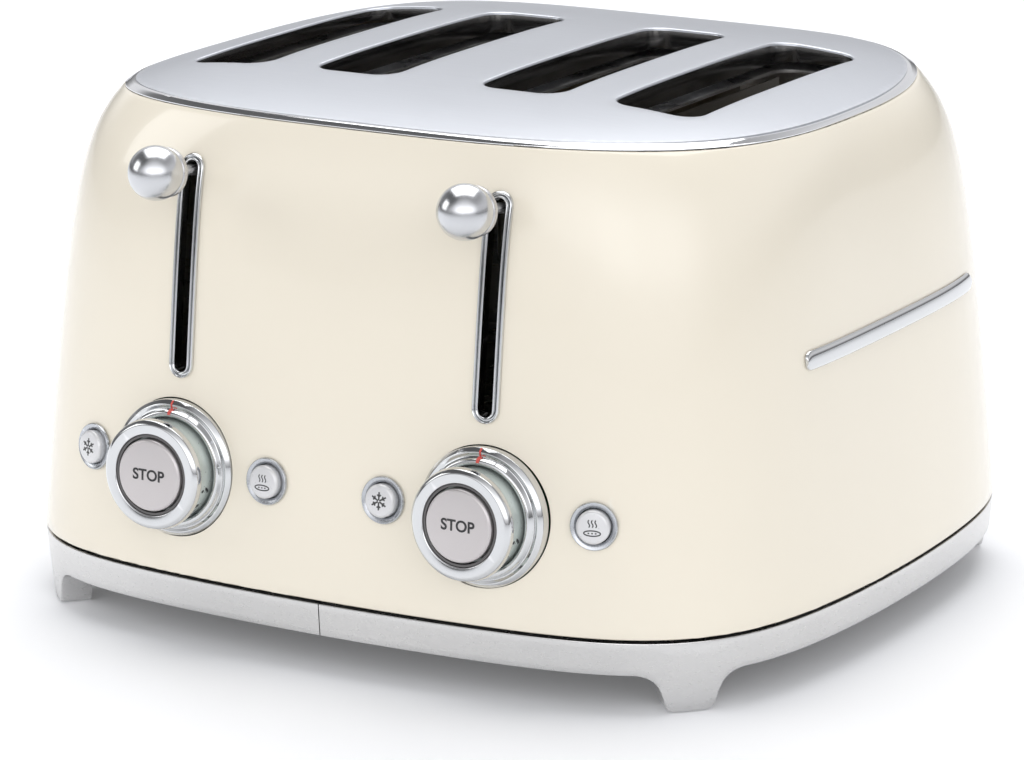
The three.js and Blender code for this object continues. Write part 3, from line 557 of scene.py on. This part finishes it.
lever_x, dial_x, dial_z, button_z = 64.3, 65.2, 67.3, 68.1
gland_z, tray_x = 66, 62.95
dial_places = {name: front_frame(side * dial_x, dial_z, 3) for name, side in halves}
button_places = {}
for name, side in halves:
    button_places[f"defrost_{name}"] = front_frame(side * dial_x - 40, button_z)
    button_places[f"bagel_{name}"] = front_frame(side * dial_x + 41.2, button_z)
gland_wall = Vector([float(v) for v in face_point(0, gland_z, 1)])
gland_place = (gland_wall, Vector((-1, 0, 0)), Vector((0, 0, 1)), Vector((0, 1, 0)))

cream_enamel = surface("cream_enamel", (0.85, 0.79, 0.665), 0.2, grain=(260, 260, 260), uneven=0.03,
                       relief=0.035, tone=0.006, worn=(0.87, 0.84, 0.75), coat=0.5)
levels = [*np.linspace(0.003, 0.8, 34), *np.linspace(0.81, 0.986, 28)]
shell_rings = [casing_ring(0, 0.3), *[casing_ring(level) for level in levels], casing_ring(0.988, 0.25)]
lining = [casing_ring(level, 1.2) for level in (0.988, 0.97, 0.94, 0.9, 0.85, 0.78, 0.5, 0.25, 0)]
whole_casing = make_piece("whole_casing", skin(shell_rings + lining, closed_along=True), cream_enamel,
                          "housing", "enamel", crease=50)
cutters = []
for radius, sides, spots in ((25.7, 128, dial_places.values()), (7.6, 64, button_places.values()),
                             (9.35, 64, [gland_place])):
    plug = [(0, -14), (radius, -14), (radius, 14), (0, 14)]
    cutters += [turned(plug, place, sides, 0) for place in spots]
for name, side in halves:
    cutters.append(prism(round_ended(side * lever_x, 101.25, 180.75, 4.25), -150, -100))
for name, side in halves:
    cutters.append(block_shape((side * tray_x - 50.6, 100, 35.4), (side * tray_x + 50.6, 160, 48.6)))
hole_maker = make_piece("hole_maker", together(cutters), cream_enamel, "housing", "enamel")
casing = make_piece("casing_shell", skin(shell_rings + lining, closed_along=True), cream_enamel,
                    "housing", "enamel", "casing", crease=50)
pierce = casing.modifiers.new("pierce", "BOOLEAN")
pierce.operation = "DIFFERENCE"
pierce.solver = "EXACT"
pierce.object = hole_maker
flow = casing.modifiers.new("flow", "DATA_TRANSFER")
flow.object = whole_casing
flow.use_loop_data = True
flow.data_types_loops = {"CUSTOM_NORMAL"}
flow.loop_mapping = "POLYINTERP_NEAREST"
bpy.context.view_layer.update()
pierced = bpy.data.meshes.new_from_object(casing.evaluated_get(bpy.context.evaluated_depsgraph_get()))
casing.modifiers.clear()
casing.data = pierced
for spent in (whole_casing, hole_maker):
    bpy.data.objects.remove(spent)


# Top plate: a shallow dome of fine-brushed steel with four slots, whose edges are rolled down. Its
# polished rim is a bright bevel that closes on the casing's top edge.
slot_width, slot_front, slot_back, slot_corner = 34.5, -66.7, 68.2, 9.0
slot_places = [side * x for name, side in halves for x in (35.3, 90.6)]  # inner and outer slots
lip_roll, steel_thick, lip_foot = 1.0, 1.2, 196.0


def slot_outline(x, grow, spacing=4.0):
    """A slot's outline with round corners, moved outwards by grow."""
    half, r = slot_width / 2, slot_corner
    outline = []
    for cx, cy, start in ((half - r, slot_front + r, -90), (half - r, slot_back - r, 0),
                          (r - half, slot_back - r, 90), (r - half, slot_front + r, 180)):
        for i in range(13):
            a = math.radians(start + 90 * i / 12)
            outline.append((x + cx + (r + grow) * math.cos(a), cy + (r + grow) * math.sin(a)))
        length = (slot_back - slot_front - 2 * r) if start in (-90, 90) else (slot_width - 2 * r)
        count = int(length / spacing)
        last_x, last_y = outline[-1]
        step = {-90: (0, 1), 0: (-1, 0), 90: (0, -1), 180: (1, 0)}[start]
        for i in range(1, count):
            d = length * i / count
            outline.append((last_x + step[0] * d, last_y + step[1] * d))
    return outline


def sheet(outer, holes, spacing):
    """Triangles over a flat region with holes, on a grid of inner points; and each loop's corners."""
    points, edges, loops = [], [], []
    for loop in (outer, *holes):
        start = len(points)
        points += loop
        loops.append(list(range(start, len(points))))
        edges += [(start + i, start + (i + 1) % len(loop)) for i in range(len(loop))]

    def inside(x, y, loop):
        odd = False
        for (ax, ay), (bx, by) in zip(loop, loop[1:] + loop[:1]):
            if (ay > y) != (by > y) and x < (bx - ax) * (y - ay) / (by - ay) + ax:
                odd = not odd
        return odd

    if spacing:
        edge_points = np.array(points)
        xs = np.arange(min(p[0] for p in outer), max(p[0] for p in outer), spacing)
        ys = np.arange(min(p[1] for p in outer), max(p[1] for p in outer), spacing)
        for x in xs:
            for y in ys:
                if np.min(np.hypot(edge_points[:, 0] - x, edge_points[:, 1] - y)) < spacing * 0.6:
                    continue
                if inside(x, y, outer) and not any(inside(x, y, hole) for hole in holes):
                    points.append((x, y))
    corners_in = [Vector(p) for p in points]
    placed, _, triangles, from_points, _, _ = delaunay_2d_cdt(corners_in, edges, [], 0, 1e-6)
    kept = []
    for triangle in triangles:
        cx = sum(placed[i].x for i in triangle) / 3
        cy = sum(placed[i].y for i in triangle) / 3
        if inside(cx, cy, outer) and not any(inside(cx, cy, hole) for hole in holes):
            kept.append(tuple(triangle))
    where = {source: i for i, sources in enumerate(from_points) for source in sources}
    return [(p.x, p.y) for p in placed], kept, [[where[i] for i in loop] for loop in loops]


def strip(first, second):
    """Faces between two loops of points."""
    return [(first[i], first[(i + 1) % len(first)], second[(i + 1) % len(second)], second[i])
            for i in range(len(first))]


angles = (np.arange(384) + 0.5) * 2 * math.pi / 384
dome_edge = [tuple(map(float, p)) for p in zip(*plan_point(rim_plan, angles, 1.9))]
flat, triangles, loops = sheet(dome_edge, [slot_outline(x, lip_roll) for x in slot_places], 4.0)
points = [(x, y, float(crown(x, y))) for x, y in flat]
faces = list(triangles)
under = len(points)
points += [(x, y, z - steel_thick) for x, y, z in points]
faces += [tuple(under + i for i in reversed(triangle)) for triangle in triangles]
faces += strip(loops[0], [under + i for i in loops[0]])
lip_levels = ((0.62, 0.07), (0.3, 0.28), (0.08, 0.6), (0.0, 1.0), (0.0, None), (0.9, None), (0.9, 2.0))
lip_start, lip_end = [], []
for x, loop in zip(slot_places, loops[1:]):
    last = loop
    for grow, fall in lip_levels:  # how far out, and how far below the dome; None is the lip's foot
        ring = []
        for px, py in slot_outline(x, grow):
            ring.append(len(points))
            points.append((px, py, lip_foot if fall is None else float(crown(px, py)) - fall))
        if fall == 1.0:
            lip_start.append(len(faces) + len(ring))
        faces += strip(last, ring)
        last = ring
    faces += strip(last, [under + i for i in loop])
    lip_end.append(len(faces))
brushed = surface("brushed_top", (0.55, 0.57, 0.61), 0.36, 1.0, grain=(30, 1800, 1800), uneven=0.03,
                  relief=0.012, tone=0.01, worn=(0.9, 0.92, 0.96))
# The slot walls take a smoother steel whose darker colour is painted shade inside the slots.
lip_steel_painted_shade = surface("lip_steel_painted_shade", (0.34, 0.335, 0.33), 0.14, 1.0, grain=(60, 60, 900), uneven=0.05,
                    relief=0.03, tone=0.1, worn=(0.5, 0.5, 0.52))
polished = surface("polished_steel", (0.86, 0.87, 0.89), 0.06, 1.0, grain=(200, 200, 200), uneven=0.02,
                   relief=0.02, tone=0.02, worn=(0.92, 0.92, 0.93))
dome = make_piece("top_dome", (points, faces), brushed, "housing", "top_steel", "top_plate", crease=40)
dome.data.materials.append(lip_steel_painted_shade)
# Faces from 1 mm below the dome down the slot walls take the darker steel, as painted shade inside the
# slots.
for face in dome.data.polygons:
    if any(a <= face.index < b for a, b in zip(lip_start, lip_end)):
        face.material_index = 1
rim_rings = [casing_ring(0.988, 0.9, 0.35), casing_ring(0.988, 0.4, 0.35), casing_ring(0.99, 0.12, 0.3),
             casing_ring(0.993, 0.02), casing_ring(0.997, 0.03), casing_ring(1, 0.3, -0.12),
             casing_ring(1, 0.5, 0.05), casing_ring(1, 1.6, 0.22), casing_ring(1, 1.9, 0.2),
             casing_ring(1, 2.1, 0.0), casing_ring(1, 2.2, -0.8), casing_ring(0.988, 2.2, 0.35)]
make_piece("top_rim", skin(rim_rings, closed_along=True), polished, "housing", "top_steel", crease=30)


# Deck: the flat bare sheet under the top plate, which the guards hang from. It is stamped out with one
# opening below each slot.
deck_top, deck_corner, deck_reach = 193.23, 26, (89.85, 56.5)
deck_loop = []
for cx, cy, start in ((1, -1, -90), (1, 1, 0), (-1, 1, 90), (-1, -1, 180)):
    for i in range(13):
        a = math.radians(start + 90 * i / 12)
        deck_loop.append((cx * deck_reach[0] + deck_corner * math.cos(a),
                          0.5 + cy * deck_reach[1] + deck_corner * math.sin(a)))
flat, triangles, loops = sheet(deck_loop, [slot_outline(x, -0.8) for x in slot_places], 0)
points = [(x, y, z) for z in (deck_top, deck_top - steel_thick) for x, y in flat]
faces = list(triangles) + [tuple(len(flat) + i for i in reversed(t)) for t in triangles]
for loop in loops:
    faces += strip(loop, [len(flat) + i for i in loop])
make_piece("deck_sheet", (points, faces), bare_steel, "housing", "sheet_steel", "deck", crease=40)


# Lever slots: each is edged with a pressed chrome bezel of two round ridges, which follows the curve
# of the front wall and is sprung into it.
bezel_section = [(0, 0.3), (0.12, 1.0), (0.35, 1.4), (0.6, 1.5), (0.85, 1.35), (1.02, 0.6), (1.15, 0.1),
                 (1.45, 0.1), (1.6, 0.6), (1.8, 1.35), (2.05, 1.5), (2.3, 1.35), (2.5, 0.9), (2.6, 0.35),
                 (1.25, 0.35), (1.2, -3.2), (0, -3.2)]
chrome = surface("bright_chrome", (0.68, 0.69, 0.7), 0.07, 1.0, grain=(300, 300, 300), uneven=0.02,
                 relief=0.02, tone=0.02, worn=(0.9, 0.9, 0.91))
edging_half = 2.7
lower, upper = 102.8 + edging_half, 179.2 - edging_half
for name, side in halves:
    path = []  # round the slot, as the middle of each turn and the way out from it
    for centre, start, way in ((upper, 0, -1), (lower, math.pi, 1)):
        path += [(centre, start + math.pi * i / 20) for i in range(21)]
        path += [(centre + way * (upper - lower) * i / 16, start + math.pi) for i in range(1, 16)]
    outs = np.array([edging_half + out for out, high in bezel_section])
    xs = np.array([side * lever_x + math.cos(a) * outs for c, a in path])
    zs = np.array([c + math.sin(a) * outs for c, a in path])
    ys = face_point(xs, zs)[1] - np.array([high for out, high in bezel_section])
    rings = [list(zip(xs[i], ys[i], zs[i])) for i in range(len(path))]
    make_piece(f"lever_edging_{name}", skin(rings, closed_along=True), chrome, "housing", "chrome",
               f"lever_bezel_{name}", crease=50)


# Lever knobs: a solid ball, turned and chromed, with a paler cap behind it, pushed on the arm of the
# carriage, so both move with the lever.
satin = surface("satin_cap", (0.6, 0.6, 0.61), 0.3, 1.0, grain=(1500, 1500, 1500), relief=0.06,
                worn=(0.7, 0.7, 0.7))
ball_chrome = surface("ball_chrome", (0.62, 0.63, 0.65), 0.22, 1.0, grain=(300, 300, 300), uneven=0.01,
                      relief=0.004, tone=0.02)
knob_z, ball_radius, ball_out, ball_back = 175.6, 10.0, 24.0, 19.4
for name, side in halves:
    place = front_frame(side * lever_x, knob_z, 8)
    start = math.acos((ball_back - ball_out) / ball_radius)
    profile = [(0, ball_back + 0.25), (8.0, ball_back + 0.25), (8.5, ball_back + 0.1)]
    profile += [(ball_radius * math.sin(a), ball_out + ball_radius * math.cos(a))
                for a in np.linspace(start - 0.03, 0, 40)]
    profile[-1] = (0, ball_out + ball_radius)
    make_piece(f"lever_ball_{name}", turned(profile, place, 96, 0.05), ball_chrome, f"lever_{name}",
               "chrome", f"lever_knob_{name}")
    cap = [(0, 16.0), (8.2, 16.0), (9.15, 17.0), (9.15, 18.9), (8.7, 19.35), (0, 19.35)]
    make_piece(f"lever_cap_{name}", turned(cap, place, 96, 0.3), satin, f"lever_{name}", "satin_metal")


# Dials: a stepped chrome dish in the wall, and a turning knob with a pale skirt, printed numbers and
# a bright front ring. A red line on the dish marks the setting.
bezel_profile = [(7, -3.4), (22.8, -3.4), (25.4, -2.4), (25.4, 1.6), (23.8, 3.2), (22.2, 2.7),
                 (21.2, 4.6), (20, 4.9), (19.2, 4.2), (19.2, 0.2), (7, 0.2)]
skirt_profile = [(3.4, -14.2), (5.4, -14.2), (5.4, 1.2), (18.6, 1.2), (18.0, 12.35), (14.2, 12.35),
                 (14.2, 10.9), (3.4, 10.9)]
front_profile = [(17.9, 12.4), (18.1, 12.5), (20.55, 13.4), (20.1, 15.8), (18.7, 17), (15.3, 16.7),
                 (15.0, 16.3), (15.0, 12.4)]
groove_shade_profile = [(13.95, 12.4), (14.9, 12.4), (14.9, 16.2), (13.95, 16.2)]
number_step, number_out = 42.2, 7.6
dial_silver = surface("dial_skirt", (0.58, 0.64, 0.61), 0.32, 0.5, grain=(1200, 1200, 1200), relief=0.015,
                      worn=(0.7, 0.72, 0.7))
# The ring set deep in the groove round the stop disc is dark grey, as painted shade in the groove.
groove_shade_grey = surface("groove_shade_grey", (0.13, 0.125, 0.125), 0.35, 0.5, relief=0.05, worn=(0.2, 0.2, 0.2))
print_ink = surface("print_ink", (0.02, 0.02, 0.022), 0.45, relief=0.1, worn=(0.05, 0.05, 0.05))
mark_red = surface("mark_red", (0.55, 0.02, 0.02), 0.4, relief=0.1, worn=(0.7, 0.1, 0.08))


def glyph(character, size, weight=0.0):
    """Triangles of one printed character, in millimetres round its own middle."""
    curve = bpy.data.curves.new("glyph", "FONT")
    curve.body = character
    curve.size = size
    curve.offset = weight
    curve.align_x = "CENTER"
    curve.align_y = "CENTER"
    holder = bpy.data.objects.new("glyph", curve)
    bpy.context.scene.collection.objects.link(holder)
    bpy.context.view_layer.update()
    mesh = bpy.data.meshes.new_from_object(holder.evaluated_get(bpy.context.evaluated_depsgraph_get()))
    bpy.data.objects.remove(holder)
    cutter = bmesh.new()
    cutter.from_mesh(mesh)
    bmesh.ops.remove_doubles(cutter, verts=cutter.verts, dist=1e-4)
    bmesh.ops.triangulate(cutter, faces=cutter.faces)
    bmesh.ops.subdivide_edges(cutter, edges=cutter.edges, cuts=1)
    bmesh.ops.triangulate(cutter, faces=cutter.faces)
    cutter.verts.index_update()
    made = [(v.co.x, v.co.y) for v in cutter.verts], [tuple(v.index for v in f.verts) for f in cutter.faces]
    cutter.free()
    return made


def printed(flat_points, flat_faces, place_point, thickness=0.06):
    """A thin layer of ink over a surface: place_point(x, y, lift) gives each point."""
    count = len(flat_points)
    points = [tuple(place_point(x, y, thickness)) for x, y in flat_points]
    points += [tuple(place_point(x, y, -0.05)) for x, y in flat_points]
    faces = [*flat_faces] + [tuple(count + i for i in reversed(face)) for face in flat_faces]
    used = {}
    for face in flat_faces:
        for a, b in zip(face, face[1:] + face[:1]):
            used[(a, b)] = used.get((a, b), 0) + 1
    faces += [(b, a, count + a, count + b) for a, b in used if (b, a) not in used]
    return points, faces


def disc(x, y, radius, steps=16):
    """A round dot of print."""
    ring = [(x + radius * math.cos(2 * math.pi * i / steps), y + radius * math.sin(2 * math.pi * i / steps))
            for i in range(steps)]
    return ring, [tuple(range(steps))]


for name, side in halves:
    place = dial_places[name]
    origin, right, high, outward = place
    make_piece(f"dial_dish_{name}", turned(bezel_profile, place, 128, 0.4), chrome, "housing", "chrome",
               f"dial_bezel_{name}")
    make_piece(f"dial_skirt_{name}", turned(skirt_profile, place, 128, 0.3), dial_silver, f"dial_{name}",
               "dial_silver", f"dial_{name}")
    # A dark grey ring deep in the groove between the stop disc and the front ring, as painted shade in the
    # groove.
    make_piece(f"dial_groove_shade_{name}", turned(groove_shade_profile, place, 96, 0.2), groove_shade_grey, f"dial_{name}",
               "dial_silver")
    make_piece(f"dial_front_{name}", turned(front_profile, place, 128, 0.5), chrome, f"dial_{name}",
               "chrome")

    def on_skirt(x, y, lift, clock):
        """A point on the cone of the skirt, x round it and y back along it from a mark's middle."""
        out = number_out - y
        radius = 18.6 - 0.6 * (out - 1.2) / 11.15 + lift
        a = math.radians(clock) + x / radius
        return origin + outward * out + (high * math.cos(a) + right * math.sin(a)) * radius

    marks = []
    for number in range(1, 7):
        clock = -number_step * number
        marks.append(printed(*glyph(str(number), 7.0, 0.16),
                             lambda x, y, lift: on_skirt(x, y, lift, clock)))
        if number < 6:
            between = clock - number_step / 2
            marks.append(printed(*disc(0, 0, 0.95), lambda x, y, lift: on_skirt(x, y, lift, between)))
    make_piece(f"dial_numbers_{name}", together(marks), print_ink, f"dial_{name}", "dial_silver")
    red = []
    for r0, h0, r1, h1, half in ((25.2, 2.0, 23.9, 3.25, 0.32), (23.8, 3.25, 22.2, 2.8, 0.32),
                                 (22.15, 2.8, 21.3, 4.5, 0.75), (21.3, 4.6, 20.3, 4.95, 0.6)):
        red.append(skin([[tuple(origin + right * x + high * (r + lift) + outward * (h + lift))
                          for x, lift in ((-half, -0.05), (half, -0.05), (half, 0.06), (-half, 0.06))]
                         for r, h in ((r0, h0), (r1, h1))]))
    make_piece(f"dial_mark_{name}", together(red), mark_red, "housing", "chrome")


# Stop buttons: a turned metal disc in the middle of each dial, with a satin face and its word printed
# on it. Its stem runs through the dial.
stop_profile = [(0, -12.7), (2.8, -12.7), (2.8, 13), (13.3, 13), (13.3, 16.9), (12.6, 17.6), (0, 17.7)]
stop_face = 17.68
stop_satin = surface("stop_satin", (0.6, 0.57, 0.57), 0.34, 0.7, grain=(1800, 1800, 1800), relief=0.08,
                     worn=(0.7, 0.68, 0.68))
for name, side in halves:
    place = dial_places[name]
    origin, right, high, outward = place
    make_piece(f"stop_disc_{name}", turned(stop_profile, place, 96, 0.4), stop_satin, f"stop_{name}",
               "cap_silver", f"stop_button_{name}")
    word = printed(*glyph("STOP", 5.7, 0.14),
                   lambda x, y, lift: origin + right * x + high * y + outward * (stop_face + lift))
    make_piece(f"stop_word_{name}", word, print_ink, f"stop_{name}", "cap_silver")


# Function buttons: a dished satin ring in the wall round a pale cap that is pressed in. The caps have
# a printed sign: an ice crystal for frozen bread, and a flat bun with heat waves over it.
ring_profile = [(6.4, -3), (7.2, -3), (7.2, 0.35), (8.8, 0.35), (8.4, 1.4), (7.1, 1.0), (6.4, 0.3)]
cap_profile = [(0, -7.5), (2.4, -7.5), (2.4, -2.5), (6.1, -2.5), (6.1, 2.6), (5.3, 3.4), (0, 3.6)]
ring_satin = surface("ring_satin", (0.52, 0.54, 0.57), 0.25, 1.0, grain=(1500, 1500, 1500), relief=0.05,
                     worn=(0.7, 0.72, 0.76))
cap_white = surface("cap_white", (0.72, 0.72, 0.73), 0.32, 0.35, grain=(1500, 1500, 1500), relief=0.06,
                    worn=(0.8, 0.8, 0.8))


def stroke(path, width):
    """A line of even width along a path."""
    left, right_side = [], []
    for i, (x, y) in enumerate(path):
        ax, ay = path[max(0, i - 1)]
        bx, by = path[min(len(path) - 1, i + 1)]
        length = math.hypot(bx - ax, by - ay)
        nx, ny = -(by - ay) / length * width / 2, (bx - ax) / length * width / 2
        left.append((x + nx, y + ny))
        right_side.append((x - nx, y - ny))
    count = len(path)
    return left + right_side, [(i, i + count, i + count + 1, i + 1) for i in range(count - 1)]


def crystal():
    strokes = []
    for i in range(6):
        a = math.radians(60 * i + 90)
        ux, uy = math.cos(a), math.sin(a)
        strokes.append(stroke([(0.35 * ux, 0.35 * uy), (3.3 * ux, 3.3 * uy)], 0.62))
        for turn in (-50, 50):
            b = a + math.radians(turn)
            near, far = (1.7 * ux, 1.7 * uy), (1.7 * ux + math.cos(b), 1.7 * uy + math.sin(b))
            strokes.append(stroke([near, far], 0.54))
    return strokes


def warm_bun():
    bun = [(3.0 * math.cos(t), -2.0 + 0.95 * math.sin(t)) for t in np.linspace(0, 2 * math.pi, 33)]
    strokes = [stroke(bun, 0.45)]
    for x in (-1.3, 0, 1.3):
        strokes.append(stroke([(x - 0.3, -2.0), (x + 0.3, -2.0)], 0.5))
    for x in (-1.25, 0, 1.25):
        wave = [(x + 0.3 * math.sin(t * 2 * math.pi), 0.1 + 2.6 * t) for t in np.linspace(0, 1, 15)]
        strokes.append(stroke(wave, 0.42))
    return strokes


for key, place in button_places.items():
    origin, right, high, outward = place
    make_piece(f"ring_{key}", turned(ring_profile, place, 64, 0.25), ring_satin, "housing", "satin_metal",
               f"button_ring_{key}")
    make_piece(f"cap_{key}", turned(cap_profile, place, 64, 0.4), cap_white, f"key_{key}", "cap_silver",
               f"button_{key}")
    signs = []
    for flat_points, flat_faces in crystal() if key.startswith("defrost") else warm_bun():
        signs.append(printed(flat_points, flat_faces, lambda x, y, lift: origin + right * x + high * y
                             + outward * (3.56 - 0.18 * math.hypot(x, y) / 5.3 + lift)))
    make_piece(f"sign_{key}", together(signs), print_ink, f"key_{key}", "cap_silver")


# Crumb trays: two shallow folded trays of bare sheet steel under the slots. They pull out at the back
# by their faces.
dress(bare_steel, *[f"crumb_tray_{name}" for name, side in halves])


# Cord gland: a moulded black plastic ring, snapped into its hole in the back wall, with room for the
# cord to leave by.
gland_profile = [(4.2, -4), (6.65, -4), (6.65, 0.35), (9, 0.35), (9, 1.6), (6, 4), (4.2, 4)]
make_piece("gland_ring", turned(gland_profile, gland_place, 64, 0.4), black_plastic, "housing",
           "black_plastic", "cord_gland")


# Side bar: a plain bright strip with tapered ends, die-cast and chromed. It follows the bow of the
# right wall, on two hidden pins.
bar_section = [(1, 0.4), (0.97, 0.85), (0.8, 1.3), (0.5, 1.55), (0, 1.6), (-0.5, 1.55), (-0.8, 1.3),
               (-0.97, 0.85), (-1, 0.4)]
bar_length, bar_middle, bar_z, bar_half_height, bar_taper = 142, 6, 117, 3.48, 7


def wall_at(y, z):
    """How far out the right wall stands at a distance back and a height."""
    level = (z - casing_bottom) / (mean_rim - casing_bottom)
    low, high = -math.pi / 2, math.pi / 2
    for halving in range(40):
        angle = (low + high) / 2
        if casing_point(level, angle)[1] < y:
            low = angle
        else:
            high = angle
    return float(casing_point(level, low)[0])


bar_rings = []
for along in np.sin(np.linspace(-math.pi / 2, math.pi / 2, 61)):
    y = bar_middle + along * (bar_length / 2 - 0.1)
    from_end = min(1, (1 - abs(along)) * bar_length / bar_taper)
    half = bar_half_height * (0.3 + 0.7 * math.sqrt(1 - (1 - from_end) ** 2))
    bar_rings.append([(wall_at(y, bar_z + high * half) + out, y, bar_z + high * half)
                      for high, out in bar_section])
make_piece("side_bar", skin(bar_rings), chrome, "housing", "chrome", "side_trim", crease=50)
